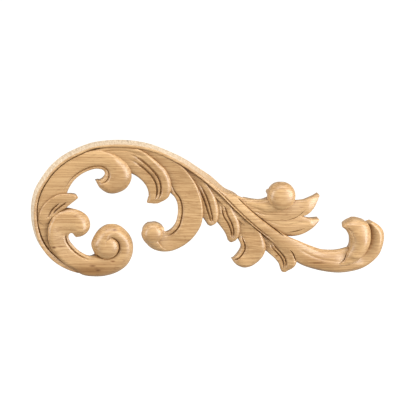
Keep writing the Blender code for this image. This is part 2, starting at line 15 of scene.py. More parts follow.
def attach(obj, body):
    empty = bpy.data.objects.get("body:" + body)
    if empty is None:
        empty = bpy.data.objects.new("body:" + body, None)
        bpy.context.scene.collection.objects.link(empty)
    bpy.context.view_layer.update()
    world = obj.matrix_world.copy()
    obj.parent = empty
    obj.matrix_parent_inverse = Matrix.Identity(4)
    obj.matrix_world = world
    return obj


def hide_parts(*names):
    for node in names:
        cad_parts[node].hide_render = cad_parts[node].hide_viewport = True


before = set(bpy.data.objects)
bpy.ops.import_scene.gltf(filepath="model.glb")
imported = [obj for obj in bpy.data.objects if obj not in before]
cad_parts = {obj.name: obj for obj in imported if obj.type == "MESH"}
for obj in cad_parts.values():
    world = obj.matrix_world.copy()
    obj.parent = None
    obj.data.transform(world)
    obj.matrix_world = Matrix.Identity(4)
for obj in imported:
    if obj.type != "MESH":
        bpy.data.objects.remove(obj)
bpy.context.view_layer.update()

# %% [markdown]
# The camera comes first
# A long lens far away flattens the view as a product photograph does. The ornament faces -Y, so the
# camera stands in front of it, a little to the left and a little above. The roll brings the length of the
# ornament level.

# %% Camera
AZIMUTH = math.radians(-13)
ELEVATION = math.radians(16)
ROLL = math.radians(3.64)
CAMERA_DISTANCE = 1.59
AIM = Vector((-0.0045, -0.010, 0.0018))

towards_camera = Vector((
    math.sin(AZIMUTH) * math.cos(ELEVATION),
    -math.cos(AZIMUTH) * math.cos(ELEVATION),
    math.sin(ELEVATION),
))
level = Vector((math.cos(AZIMUTH), math.sin(AZIMUTH), 0))
upward = towards_camera.cross(level)
turn = Matrix.Rotation(ROLL, 3, towards_camera)
axes = Matrix((turn @ level, turn @ upward, towards_camera)).transposed()
camera_data = bpy.data.cameras.new("camera")
camera_data.lens = 200
camera_data.sensor_width = 36
camera = bpy.data.objects.new("camera", camera_data)
camera.matrix_world = Matrix.Translation(AIM + towards_camera * CAMERA_DISTANCE) @ axes.to_4x4()
bpy.context.collection.objects.link(camera)
bpy.context.scene.camera = camera
print("camera at", [round(v, 3) for v in camera.location])

# %% [markdown]
# A smooth edge through a few points
# The edges are given at stations, as (x, z) in millimetres. A curve that passes through its own points is
# easier to set than one with handles, so the helper blends four neighbouring stations at a time.

# %% Edges through stations
MM = 0.001


def on_curve(points, station):
    last = len(points) - 1
    start = min(int(station), last - 1)
    t = station - start
    before, a, b, after = (Vector(points[min(max(start + k, 0), last)]) for k in (-1, 0, 1, 2))
    return 0.5 * (2 * a + (b - before) * t + (2 * before - 5 * a + 4 * b - after) * t**2
                  + (3 * a - before - 3 * b + after) * t**3)


quarter = on_curve([(0, 0), (1, 1), (2, 0)], 0.5)
print("half way to the first corner:", [round(v, 3) for v in quarter])

# %% [markdown]
# Heights along a leaf
# A leaf rises and falls along its length and across it. Three heights at a station are enough: left edge,
# middle and right edge. Between two stations the height eases in and out, so there is no kink.

# %% Heights
def between(rise, station):
    for (first, *low), (second, *high) in zip(rise, rise[1:]):
        if station <= second:
            t = (station - first) / (second - first)
            t = t * t * (3 - 2 * t)
            return [a + (b - a) * t for a, b in zip(low, high)]
    return rise[-1][1:]


print("half way:", between([(0, 8, 9, 8), (2, 10, 12, 9)], 1.0))

# %% [markdown]
# Where the lanes of a leaf run
# A carver cuts grooves along a leaf with a gouge. The faces follow the same plan: lanes crowd at each
# groove and spread out between them. A groove is given as (measured from, distance at its start, at its
# end, first station, last station, width, depth). It is measured in millimetres from one edge, or across
# the leaf as a part of its width, and it fades out at both ends as a gouge cut does.

# %% Lanes
GOUGE = [-1.0, -0.66, -0.36, -0.12, 0.12, 0.36, 0.66, 1.0]
WIDEST_GOUGE = 0.13
EDGE_ROOM = 0.12
FADE = 0.25


def cuts_at(grooves, station, width):
    cuts = []
    for measured, first, last, start, end, breadth, depth in grooves:
        along = min(max((station - start) / (end - start), 0.0), 1.0)
        centre = first + (last - first) * along
        centre = {"left": centre, "right": width - centre, "across": width * centre}[measured]
        half = min(0.5 * breadth, WIDEST_GOUGE * width)
        centre = min(max(centre, EDGE_ROOM * width + half), (1 - EDGE_ROOM) * width - half)
        fade = min(max(min(station - start, end - station) / (FADE * (end - start)), 0.0), 1.0)
        fade = fade * fade * (3 - 2 * fade) * half / (0.5 * breadth)
        cuts.append((centre, half, depth * fade))
    return sorted(cuts)


cuts = cuts_at([("across", 0.5, 0.5, 0, 4, 2, 1)], 2, 10)
print("a groove half way along a 10 mm leaf (centre, half width, depth):", cuts)

# %% [markdown]
# Rounded edges
# Every edge of the real leaf is rounded over, and most where it stands high over the leaf beside it. The
# rounding is given at stations, as its width in millimetres on the left and on the right. The lanes crowd
# there too, and each lane falls by the rounding's curve and by the deepest gouge cut that it meets.

# %% Rounded edges
EDGE_DROP = 1.1
DROP_POWER = 0.55
EDGE_CURVE = 2.1
GOUGE_CURVE = 1.3
WIDEST_ROUNDING = 0.45
ROUNDING = [0.0, 0.06, 0.2, 0.4, 0.7, 1.0]


def lanes_at(grooves, rounds, station, width, fill):
    near_edge, far_edge = (min(size, WIDEST_ROUNDING * width) for size in between(rounds, station))
    cuts = cuts_at(grooves, station, width)
    groups = [[part * near_edge for part in ROUNDING]]
    groups += [[centre + part * half for part in GOUGE] for centre, half, depth in cuts]
    groups += [[width - part * far_edge for part in reversed(ROUNDING)]]
    lanes = list(groups[0])
    for group, following in zip(groups, groups[1:]):
        near, far = group[-1], following[0]
        lanes += [near + (far - near) * k / (fill + 1) for k in range(1, fill + 1)] + following
    lanes = sorted(lanes)
    falls = []
    for lane in lanes:
        fall = 0
        for inward, edge in ((lane, near_edge), (width - lane, far_edge)):
            fall += EDGE_DROP * edge**DROP_POWER * (1 - min(inward, edge) / edge) ** EDGE_CURVE
        gouged = [
            depth * max(1 - abs(lane - centre) / half, 0) ** GOUGE_CURVE for centre, half, depth in cuts
        ]
        falls.append(fall + max(gouged, default=0))
    return list(zip(lanes, falls))


sample = lanes_at([("across", 0.5, 0.5, 0, 4, 2, 1)], [(0, 1, 1), (4, 1, 1)], 2, 10, 3)
print("lanes of a 10 mm leaf with one groove:", len(sample))

# %% [markdown]
# From a carved sheet to a solid
# A leaf starts as a sheet, the part of it that shows. Drawing the sheet back behind the ornament's back
# gives the wall, and the copy of the sheet at the far end closes the solid. A real wall is seldom
# upright: the carver undercuts a leaf, so that it casts a shadow on the next. Each corner therefore
# carries the place of its foot on the back, and the wall slopes to it. Every solid runs a little further
# back than the last, because two ends in one plane are hard to fuse.

# %% Draw a sheet back
BEHIND = 2.0
STAGGER = 0.1
blanks = []


def add_object(name, mesh):
    data = bpy.data.meshes.new(name)
    mesh.to_mesh(data)
    mesh.free()
    obj = bpy.data.objects.new(name, data)
    bpy.context.collection.objects.link(obj)
    blanks.append(obj)
    print(name, len(data.polygons), "faces")
    return obj


def draw_back(mesh, feet):
    copy = bmesh.ops.extrude_face_region(mesh, geom=mesh.faces[:], use_keep_orig=True)
    for part in copy["geom"]:
        if isinstance(part, bmesh.types.BMVert):
            part.co = part[feet]
            part.co.y = (BEHIND + STAGGER * len(blanks)) * MM
    bmesh.ops.recalc_face_normals(mesh, faces=mesh.faces)


print("the first solid ends", BEHIND, "mm behind the back")

# %% [markdown]
# One leaf
# A flat grid has the right faces already, so it is bent instead of building faces by hand: each of its
# corners moves to its place between the two edges. Across the leaf the height is the parabola through its
# three heights, less what was cut away there. A foot is given at stations as well, as how far the wall
# leans out on the left and on the right in millimetres, with a minus sign where it leans in.

# %% Carve one leaf
ROWS = 7
LANE_SPACING = 1.1
TIP_MERGE = 0.03
SPREAD = 0.35
UNDERCUT_LIMIT = 0.32
PLAIN_ROUNDS = [(0, 1, 1), (99, 1, 1)]
PLAIN_FOOT = [(0, 0, 0), (99, 0, 0)]


def carve(name, left, right, rise, grooves=(), rounds=PLAIN_ROUNDS, foot=PLAIN_FOOT):
    rows = (len(left) - 1) * ROWS
    widest = max((Vector(a) - Vector(b)).length for a, b in zip(left, right))
    fill = max(1, round(widest / (len(grooves) + 1) / LANE_SPACING))
    table = []
    for row in range(rows + 1):
        station = row / ROWS
        start, end = on_curve(left, station), on_curve(right, station)
        outward = (end - start).normalized() * SPREAD
        start, end = start - outward, end + outward
        low, middle, high = between(rise, station)
        across = end - start
        width = across.length
        leans = between(foot, station)
        near_foot, far_foot = (max(lean, -UNDERCUT_LIMIT * width) / width for lean in leans)
        for distance, cut in lanes_at(grooves, rounds, station, width, fill):
            t = distance / width
            height = low + (4 * middle - 3 * low - high) * t + 2 * (low + high - 2 * middle) * t * t - cut
            place = start + across * t
            base = start + across * (t * (1 + far_foot) - (1 - t) * near_foot)
            table.append((Vector((place.x, -height, place.y)) * MM, Vector((base.x, 0, base.y)) * MM))
    mesh = bmesh.new()
    feet = mesh.verts.layers.float_vector.new("foot")
    bmesh.ops.create_grid(mesh, x_segments=len(table) // (rows + 1) - 1, y_segments=rows, size=1)
    for vert, (place, base) in zip(mesh.verts, table):
        vert.co = place
        vert[feet] = base
    bmesh.ops.remove_doubles(mesh, verts=mesh.verts, dist=TIP_MERGE * MM)
    draw_back(mesh, feet)
    add_object(name, mesh)


print("a leaf has", ROWS, "rows of faces from one station to the next")

# %% [markdown]
# The spine
# The spine is the long stroke that the whole ornament hangs on. It starts as a thin bead round the big
# scroll, widens into the stem, and runs on through the tail into the curl at the right-hand end. One band
# follows it all the way, because a joint in a long line would catch the light.

# %% The spine
SPINE = dict(
    left=[
        (-87.0, -46.2), (-94.2, -44.8), (-101.9, -41.6), (-109.0, -37.0), (-115.4, -30.6),
        (-120.2, -22.9), (-123.0, -14.5), (-124.4, -6.0), (-124.5, 2.5), (-122.9, 11.0),
        (-119.0, 19.0), (-113.2, 27.6), (-105.7, 34.7), (-97.0, 39.8), (-86.5, 44.1),
        (-76.0, 45.8), (-66.0, 46.1), (-55.4, 45.2), (-44.8, 42.9), (-34.2, 38.6),
        (-23.4, 33.1), (-13.5, 26.7), (-3.9, 20.0), (6.3, 12.9), (15.3, 9.7),
        (22.6, 2.9), (29.7, -2.9), (37.4, -8.6), (45.3, -14.2), (53.0, -18.6),
        (61.5, -22.3), (70.3, -26.1), (79.0, -29.2), (87.5, -30.0), (94.0, -29.4),
        (99.5, -28.0), (104.0, -28.6), (108.4, -27.4), (111.0, -23.8), (111.6, -18.5),
        (111.0, -14.0), (110.2, -11.2),
    ],
    right=[
        (-88.5, -44.6), (-94.0, -43.0), (-100.2, -39.8), (-107.0, -34.8), (-113.2, -28.9),
        (-118.1, -21.7), (-120.9, -13.9), (-122.3, -5.8), (-122.5, 2.3), (-121.1, 10.3),
        (-117.6, 18.2), (-112.1, 26.6), (-104.6, 33.5), (-96.4, 38.4), (-85.8, 43.0),
        (-75.8, 44.2), (-66.0, 44.3), (-55.7, 43.6), (-45.3, 41.4), (-34.8, 37.2),
        (-24.3, 31.7), (-14.5, 25.2), (-5.0, 18.2), (4.2, 10.3), (11.0, 3.8),
        (17.2, -2.0), (23.7, -7.8), (30.7, -13.6), (38.6, -19.8), (48.0, -27.0),
        (56.5, -33.8), (65.3, -39.7), (75.4, -43.4), (86.0, -45.7), (96.2, -46.3),
        (107.1, -44.4), (115.0, -40.4), (121.7, -33.2), (124.2, -24.0), (123.7, -17.0),
        (120.2, -12.3), (115.0, -9.3),
    ],
    rise=[
        (0, 7.5, 7.5, 7.3), (4, 9.0, 8.8, 8.2), (8, 9.2, 9.0, 8.4), (13, 9.6, 9.4, 8.6),
        (16, 10.2, 9.9, 9.4), (20, 10.2, 10.6, 10.2), (23, 10.4, 11.4, 11.4), (25, 11.4, 11.9, 11.4),
        (29, 11.4, 11.9, 10.4),
        (33, 8.8, 11.5, 8.5), (34.5, 8.6, 10.2, 8.4), (36, 7.4, 8.6, 8.8), (38, 3.6, 9.4, 9.0),
        (41, 3.0, 8.2, 8.2),
    ],
    grooves=[
        ("right", 1.9, 1.9, 21.6, 29.0, 1.4, 1.0), ("across", 0.35, 0.45, 30, 34, 3.0, 0.35),
    ],
    rounds=[
        (0, 0.5, 0.6), (20, 0.6, 0.6), (24, 0.7, 0.6), (29, 0.8, 0.8), (32, 2.2, 2.2), (36, 2.4, 4.0),
        (41, 2.0, 4.5),
    ],
    foot=[
        (0, 0, 0), (3, 0.6, 0), (7, 1.0, 0), (14, 0.8, 0), (18, 1.3, 0), (21, 2.6, 0), (22, 3.1, 0),
        (24, 0.3, 0), (29, -2.4, -0.6), (35, -2.6, -1.2), (41, -1.5, -1.2),
    ],
)
carve("spine", **SPINE)

# %% [markdown]
# The outer leaf and its hook
# The widest leaf fills the big scroll and ends in a hook with a pointed tip. Its inner edge carries a
# thin raised bead, which is what is left between the edge and a groove cut beside it.

# %% The outer leaf and its hook
carve(
    "outer_leaf",
    left=[
        (-107.0, -34.4), (-112.3, -29.2), (-117.8, -20.5), (-121.2, -10.7), (-122.5, -0.7),
        (-121.4, 8.0), (-118.3, 16.6), (-113.0, 25.2), (-106.0, 32.3), (-99.4, 36.8),
        (-91.5, 40.5), (-82.5, 42.4), (-74.6, 40.2), (-68.7, 37.5), (-63.9, 33.9),
        (-60.7, 29.2), (-59.3, 24.2), (-60.2, 18.9), (-63.3, 14.2), (-69.0, 11.6),
        (-75.0, 11.8), (-80.0, 15.1), (-82.4, 19.0),
    ],
    right=[
        (-104.0, -33.5), (-106.5, -27.0), (-108.0, -19.0), (-109.0, -10.0), (-107.0, 0.0),
        (-103.9, 7.4), (-102.1, 13.7), (-98.7, 20.2), (-94.1, 24.7), (-88.9, 27.6),
        (-84.2, 29.1), (-80.2, 28.9), (-78.3, 28.1), (-77.4, 26.9), (-77.1, 25.6),
        (-77.2, 24.4), (-77.6, 23.2), (-78.3, 22.2), (-79.3, 21.3), (-80.4, 20.8),
        (-81.4, 20.4), (-82.2, 20.1), (-82.8, 19.7),
    ],
    rise=[
        (0, 7.8, 8.0, 8.0), (3, 8.2, 8.2, 7.5), (5, 8.4, 8.4, 7.8), (8, 8.8, 9.2, 8.6),
        (11, 9.2, 10.3, 9.0), (13, 10.8, 11.6, 9.2), (16, 12.4, 12.2, 9.4), (19, 9.6, 10.8, 9.0),
        (22, 7.0, 7.0, 7.0),
    ],
    grooves=[("right", 2.0, 2.0, 4.4, 22.0, 1.7, 1.1)],
    rounds=[
        (0, 0.6, 1.0), (10, 0.6, 1.0), (12, 2.0, 1.0), (14, 5.5, 1.0), (17, 7.0, 1.0), (20, 4.0, 1.0),
        (22, 1.5, 0.8),
    ],
    foot=[(0, 0, -2), (11, 0, -2), (13, -0.8, -2.6), (19, -1.5, -2.6), (20, -2.6, -1.5), (22, -2.6, -1)],
)

# %% [markdown]
# The top leaf
# The next leaf slips out from under the hook. Its right-hand edge stands high over the leaf below it, and
# two long gouge cuts run down its middle with a bead between them.

# %% The top leaf
carve(
    "top_leaf",
    left=[
        (-86.0, 40.5), (-80.0, 37.0), (-72.5, 33.5), (-65.0, 29.0), (-59.0, 25.9),
        (-54.7, 23.6), (-50.6, 20.3), (-47.8, 16.7), (-46.3, 13.3), (-45.8, 10.3),
        (-45.9, 7.6), (-46.5, 4.8), (-43.2, 4.2),
    ],
    right=[
        (-84.5, 42.4), (-77.0, 44.0), (-68.5, 44.6), (-60.5, 44.3), (-53.0, 41.8),
        (-47.0, 37.9), (-41.3, 33.4), (-36.6, 29.2), (-33.3, 24.0), (-31.5, 18.5),
        (-31.5, 13.0), (-33.4, 7.7), (-38.2, 4.4),
    ],
    rise=[
        (0, 8.5, 8.8, 9.2), (2, 8.2, 8.8, 9.8), (4, 8.0, 9.4, 11.2), (7, 8.6, 10.2, 12.0),
        (10, 8.8, 9.8, 11.4), (12, 7.6, 7.8, 7.8),
    ],
    grooves=[
        ("right", 3.0, 3.2, 0.2, 4.6, 2.6, 0.8),
        ("across", 0.50, 0.32, 2.9, 11.2, 2.4, 1.7), ("across", 0.72, 0.47, 2.6, 11.4, 2.4, 1.7),
    ],
    rounds=[(0, 0.8, 0.6), (4, 1.2, 1.0), (7, 1.2, 3.5), (10, 2.0, 4.5), (12, 1.6, 2.4)],
    foot=[(0, 0, 0), (4, -1.5, -0.5), (7, -2.4, -1.0), (12, -2.4, -1.5)],
)

# %% [markdown]
# The middle scroll
# A second, smaller C-scroll leaves the spine here. It is a plain polished band with a bead on its inner
# edge.

# %% The middle scroll
carve(
    "middle_scroll",
    left=[
        (-60.0, 41.0), (-51.5, 36.5), (-44.0, 30.5), (-37.5, 24.0), (-33.8, 17.5),
        (-31.0, 12.4), (-27.6, 8.9), (-25.5, 4.6), (-24.7, -1.0), (-25.1, -6.0),
        (-26.0, -10.6), (-28.2, -14.0), (-30.6, -15.8), (-32.8, -16.2), (-35.0, -14.4),
        (-37.4, -11.2), (-40.4, -9.8), (-44.0, -10.4),
    ],
    right=[
        (-58.0, 44.4), (-46.5, 42.0), (-35.5, 37.4), (-25.8, 32.0), (-19.2, 25.4),
        (-14.2, 18.2), (-11.0, 11.0), (-9.0, 4.0), (-8.2, -3.2), (-9.0, -11.0),
        (-12.8, -18.4), (-19.0, -24.9), (-26.8, -29.2), (-34.6, -29.9), (-41.4, -27.8),
        (-46.2, -23.2), (-47.6, -17.6), (-46.0, -13.4),
    ],
    rise=[
        (0, 8.2, 8.6, 9.2), (2, 8.0, 8.8, 9.8), (4, 8.0, 9.2, 11.2), (7, 8.8, 10.6, 12.2),
        (10, 8.8, 10.4, 10.6), (12, 8.6, 9.0, 9.2), (14, 8.4, 9.6, 9.0), (17, 7.2, 8.5, 7.6),
    ],
    grooves=[("left", 1.8, 1.8, 3.6, 13.4, 1.7, 1.5)],
    rounds=[(0, 0.6, 0.6), (3, 0.8, 1.0), (6, 1.0, 1.4), (10, 1.0, 2.0), (17, 1.0, 2.2)],
    foot=[
        (0, 0, 0), (4, -1.5, -0.5), (6, -2.6, -1.0), (12, -2.6, -1.0), (14, -2.6, -2.4), (17, -2.6, -2.6),
    ],
)

# %% [markdown]
# The bud at the end of the middle scroll
# The middle scroll rolls up into a smooth bud. It is a short fat leaf with a high middle, so it bulges.

# %% The bud at the end of the middle scroll
carve(
    "scroll_bud",
    left=[
        (-38.2, -10.8), (-41.8, -9.8), (-45.9, -11.4), (-48.3, -14.4), (-49.2, -18.0),
        (-47.3, -22.4), (-43.8, -25.8), (-39.0, -28.4), (-33.5, -29.6),
    ],
    right=[
        (-36.2, -11.6), (-34.2, -13.4), (-35.4, -15.6), (-37.6, -17.6), (-38.6, -19.8),
        (-38.0, -22.6), (-36.6, -24.6), (-34.4, -26.9), (-31.5, -28.4),
    ],
    rise=[(0, 8.4, 8.8, 8.4), (3, 8.6, 11.4, 10.8), (5, 9.0, 11.6, 11.2), (8, 8.6, 9.2, 9.0)],
    rounds=[(0, 2.0, 0.5), (4, 3.5, 0.8), (8, 2.0, 0.5)],
    foot=[(0, -3, 0), (6, -2.6, 0), (8, -1.5, 0)],
)

# %% [markdown]
# The first tongue
# Small tongues fill the angle under the stem. Each has two gouge cuts and a rounded end.

# %% The first tongue
carve(
    "first_tongue",
    left=[
        (-24.0, 24.0), (-18.5, 16.0), (-14.0, 8.0), (-11.5, 1.0), (-9.4, -3.0),
        (-6.4, -6.3), (-4.2, -9.3), (-2.9, -11.2), (-1.9, -11.8),
    ],
    right=[
        (-19.5, 29.2), (-10.4, 22.8), (-4.2, 16.0), (0.2, 8.6), (2.5, 1.4),
        (3.0, -4.6), (2.0, -8.6), (0.4, -10.9), (-0.9, -11.8),
    ],
    rise=[(0, 7.8, 8.4, 9.4), (3, 8.0, 9.6, 11.6), (6, 8.2, 9.6, 11.4), (8, 7.2, 7.8, 7.6)],
    grooves=[("across", 0.45, 0.42, 1.2, 6.4, 1.9, 1.5), ("across", 0.65, 0.57, 1.0, 6.4, 1.9, 1.5)],
    rounds=[(0, 0.6, 0.8), (4, 0.8, 3.2), (8, 1.2, 2.4)],
    foot=[(0, 0, 0), (4, -1.0, -0.8), (8, -1.5, -1.2)],
)

# %% [markdown]
# The second tongue
# The second tongue is longer than the first and hangs lower, but it is cut with the same two strokes.

# %% The second tongue
carve(
    "second_tongue",
    left=[
        (-8.0, 15.5), (-1.5, 8.0), (0.5, 0.5), (1.4, -6.3), (5.0, -10.8),
        (8.6, -15.3), (10.7, -19.0), (11.9, -22.0), (13.2, -23.5),
    ],
    right=[
        (-4.8, 18.9), (5.0, 11.0), (11.0, 4.4), (14.8, -2.0), (17.8, -7.7),
        (18.9, -13.5), (18.3, -18.4), (16.7, -22.4), (14.7, -23.7),
    ],
    rise=[(0, 7.8, 8.2, 9.4), (3, 8.0, 9.6, 11.4), (6, 8.2, 9.8, 11.4), (8, 7.2, 7.8, 7.6)],
    grooves=[("across", 0.45, 0.42, 1.5, 6.8, 1.9, 1.5), ("across", 0.65, 0.57, 1.2, 6.8, 1.9, 1.5)],
    rounds=[(0, 0.6, 0.8), (4, 0.8, 3.2), (8, 1.2, 2.4)],
    foot=[(0, 0, 0), (4, -1.0, -0.8), (8, -1.5, -1.2)],
)

# %% [markdown]
# The hooked leaf
# This broad leaf turns back on itself at its end. The turn comes from bringing the stations of the left
# edge close together while those of the right edge travel round it.

# %% The hooked leaf
carve(
    "hooked_leaf",
    left=[
        (8.0, 3.0), (13.0, -4.0), (16.4, -11.0), (18.0, -16.6), (18.8, -20.6),
        (20.7, -24.2), (21.3, -27.8), (20.3, -30.8), (18.8, -33.0), (17.4, -34.7),
        (16.5, -35.9), (16.3, -36.8),
    ],
    right=[
        (13.2, 4.2), (20.2, -2.4), (27.0, -8.8), (32.5, -14.5), (35.9, -20.0),
        (38.2, -26.2), (37.6, -31.8), (35.0, -36.6), (30.2, -40.7), (24.4, -42.2),
        (19.6, -40.6), (17.0, -38.2),
    ],
    rise=[
        (0, 7.8, 8.4, 9.6), (3, 8.4, 9.6, 11.6), (5, 9.2, 10.8, 11.8), (8, 8.8, 10.0, 9.6),
        (11, 7.0, 7.2, 7.2),
    ],
    grooves=[("left", 1.9, 1.7, 3.0, 10.4, 1.8, 1.5), ("left", 4.2, 4.0, 3.0, 8.4, 2.0, 0.4)],
    rounds=[(0, 0.6, 0.6), (3, 0.8, 1.8), (6, 1.0, 4.5), (11, 0.8, 2.4)],
    foot=[(0, 0, 0), (3, -1.5, -0.5), (6, -2.4, -1.2), (9, -2.6, -1.2), (11, -2.0, -1.2)],
)

# %% [markdown]
# The last tongue
# The last tongue springs from the stem where it becomes the tail.

# %% The last tongue
carve(
    "last_tongue",
    left=[
        (32.0, -13.5), (35.4, -20.0), (36.8, -27.0), (41.6, -31.5), (46.0, -35.2),
        (49.5, -39.3), (51.0, -43.2), (52.4, -45.6),
    ],
    right=[
        (37.6, -17.4), (45.5, -22.4), (52.0, -26.0), (57.0, -30.0), (60.5, -34.0),
        (60.9, -38.4), (59.0, -42.8), (55.0, -45.8),
    ],
    rise=[(0, 7.8, 8.4, 10.2), (2, 8.0, 9.8, 11.8), (5, 8.4, 9.8, 11.8), (7, 7.2, 7.8, 7.6)],
    grooves=[("across", 0.44, 0.22, 1.3, 6.2, 1.9, 1.5), ("across", 0.62, 0.36, 1.0, 6.2, 1.9, 1.5)],
    rounds=[(0, 0.6, 0.8), (3, 0.8, 3.0), (7, 0.8, 2.4)],
    foot=[(0, 0, 0), (3, -1.5, -0.8), (7, -1.5, -1.2)],
)

# %% [markdown]
# The upper leaf above the stem
# Above the stem a leaf runs to the right, passes under the round bud and ends in a raised point.

# %% The upper leaf above the stem
carve(
    "upper_leaf",
    left=[
        (12.0, 11.6), (17.3, 9.3), (23.2, 7.4), (30.0, 6.6), (38.0, 6.9),
        (46.0, 8.0), (52.0, 7.0), (58.0, 6.4), (64.6, 7.0), (70.2, 9.0), (74.9, 10.3),
    ],
    right=[
        (14.0, 8.5), (20.0, 4.0), (26.0, -0.8), (32.5, -5.0), (39.5, -7.5),
        (46.5, -8.0), (53.0, -7.0), (59.5, -5.0), (66.6, -3.6), (72.0, 1.8), (75.2, 9.5),
    ],
    rise=[
        (0, 7.8, 8.4, 9.4), (3, 8.2, 9.6, 9.4), (6, 9.2, 10.4, 9.4), (8, 8.8, 9.8, 8.8),
        (10, 6.8, 7.2, 7.0),
    ],
    grooves=[("across", 0.74, 0.70, 2.4, 5.0, 2.0, 0.5)],
    rounds=[(0, 0.8, 0.4), (6, 1.2, 0.4), (8, 1.4, 0.8), (10, 1.2, 0.8)],
    foot=[(0, -2.0, 0), (2, -2.7, 0), (8, -2.7, -0.8), (10, -2.0, -1.0)],
)

# %% [markdown]
# Its lower point
# A second point lies below the first. It shares the first one's flow, so its upper edge starts under it.

# %% Its lower point
carve(
    "lower_leaf",
    left=[
        (24.0, -0.5), (32.0, -3.6), (40.0, -5.6), (47.0, -6.6), (54.0, -5.6),
        (61.0, -4.2), (67.0, -6.0), (71.8, -7.0), (76.2, -7.4),
    ],
    right=[
        (28.0, -3.0), (36.0, -9.2), (43.0, -14.0), (50.0, -17.8), (57.0, -19.0),
        (64.6, -17.6), (70.6, -14.2), (74.6, -10.6), (76.5, -7.8),
    ],
    rise=[(0, 8.6, 8.8, 9.4), (4, 9.3, 10.4, 9.2), (6, 9.2, 10.2, 8.8), (8, 7.0, 7.2, 7.0)],
    grooves=[("across", 0.36, 0.36, 1.5, 6.4, 2.2, 0.4)],
    rounds=[(0, 0.4, 0.8), (5, 0.4, 1.8), (6.5, 0.8, 1.8), (8, 0.8, 1.0)],
    foot=[(0, 0, 0), (5, 0, -1.2), (6, -2.4, -1.2), (8, -2.4, -1.2)],
)

# %% [markdown]
# The side leaf
# Inside the big scroll, on the left, a small pointed leaf breaks the line of the inner edge.

# %% The side leaf
carve(
    "side_leaf",
    left=[
        (-121.0, -8.0), (-120.8, -2.6), (-118.0, 3.6), (-113.6, 7.9), (-108.2, 10.7),
        (-102.6, 11.2), (-97.6, 10.4), (-95.0, 8.8),
    ],
    right=[
        (-117.0, -12.0), (-112.0, -7.0), (-109.0, -2.5), (-106.4, -0.6), (-103.6, 1.2),
        (-100.9, 3.4), (-97.6, 6.2), (-94.6, 8.2),
    ],
    rise=[
        (0, 8.6, 8.6, 8.0), (1, 9.8, 9.2, 8.6), (4, 10.2, 10.0, 9.0), (6, 9.4, 9.6, 8.8),
        (7, 7.4, 7.6, 7.4),
    ],
    grooves=[("across", 0.64, 0.50, 0.8, 3.8, 1.7, 1.4), ("across", 0.84, 0.62, 1.3, 5.0, 1.7, 1.4)],
    rounds=[(0, 0.6, 0.6), (7, 0.8, 0.8)],
    foot=[(0, 0, 0), (4, -0.8, -1.0), (5, -2.6, -1.2), (7, -2.2, -1.2)],
)

# %% [markdown]
# The lower scroll
# The lower scroll is the longest single gesture: a round lobe, a hook, an arm along the bottom and a ring
# that closes on its own eye. The stations crowd together on the inside of every turn.

# %% The lower scroll
SCROLL = dict(
    left=[
        (-94.6, -19.7), (-90.0, -18.9), (-86.5, -15.3), (-85.7, -10.3), (-88.3, -4.7),
        (-94.4, -0.8), (-101.5, 0.4), (-108.2, -2.0), (-112.6, -7.2), (-114.4, -14.0),
        (-113.9, -21.2), (-111.2, -28.2), (-107.0, -33.6), (-101.4, -38.6), (-95.3, -42.6),
        (-88.9, -46.6), (-81.1, -47.9), (-73.1, -47.7), (-65.3, -45.4), (-58.9, -40.8),
        (-55.5, -34.6), (-54.7, -27.8), (-56.4, -21.2), (-60.4, -15.8), (-66.0, -11.9),
        (-72.4, -11.3), (-77.6, -13.9), (-81.7, -18.9), (-83.8, -25.2), (-80.2, -33.4),
    ],
    right=[
        (-95.8, -18.9), (-96.6, -17.6), (-97.4, -16.7), (-98.2, -16.3), (-99.0, -16.3),
        (-99.6, -16.7), (-100.0, -17.3), (-100.3, -18.1), (-100.4, -19.2), (-100.1, -20.6),
        (-99.2, -22.6), (-97.4, -25.0), (-95.0, -27.6), (-91.8, -30.2), (-88.0, -32.3),
        (-84.0, -33.6), (-79.6, -33.6), (-75.2, -34.2), (-70.8, -33.8), (-67.3, -31.6),
        (-65.5, -28.4), (-65.4, -25.2), (-66.6, -22.4), (-68.4, -20.6), (-70.6, -19.6),
        (-72.6, -19.6), (-74.2, -20.6), (-75.0, -22.6), (-75.0, -24.8), (-73.6, -26.8),
    ],
    rise=[
        (0, 7.6, 8.6, 8.4), (3, 9.2, 12.4, 9.4), (6, 9.4, 11.0, 9.0), (9, 12.4, 10.8, 8.8),
        (12, 10.8, 9.8, 8.6), (15, 8.8, 10.2, 8.8), (18, 8.0, 10.8, 9.2), (21, 7.4, 11.0, 9.6),
        (24, 7.4, 11.6, 10.4),
        (26, 8.8, 12.4, 12.6), (28, 9.0, 12.4, 13.2), (29, 8.0, 9.6, 12.4),
    ],
    grooves=[("right", 2.0, 2.0, 7.2, 15.4, 1.6, 1.2)],
    rounds=[
        (0, 3.0, 0.8), (3, 6.5, 0.8), (6, 3.4, 0.8), (8, 3.0, 0.8), (12, 2.4, 0.9), (15, 2.0, 1.2),
        (18, 3.6, 1.6), (23, 4.0, 1.6), (26, 4.0, 1.0), (29, 3.0, 0.6),
    ],
    foot=[
        (0, -1.0, -1.0), (3, -1.5, -1.5), (5, -2.7, -2), (7, -1.5, -2.6), (9, 0, -2.7), (14, 0, -2.7),
        (15.2, -0.8, -2.7), (16.2, -1.2, 0), (22, -1.5, 0), (24, -2.7, 0), (29, -2.7, 0),
    ],
)
carve("lower_scroll", **SCROLL)

# %% [markdown]
# The end lobe
# At the right-hand end the tail curls back, and a swelling lobe lies inside the curl like a thumb in a
# fist.

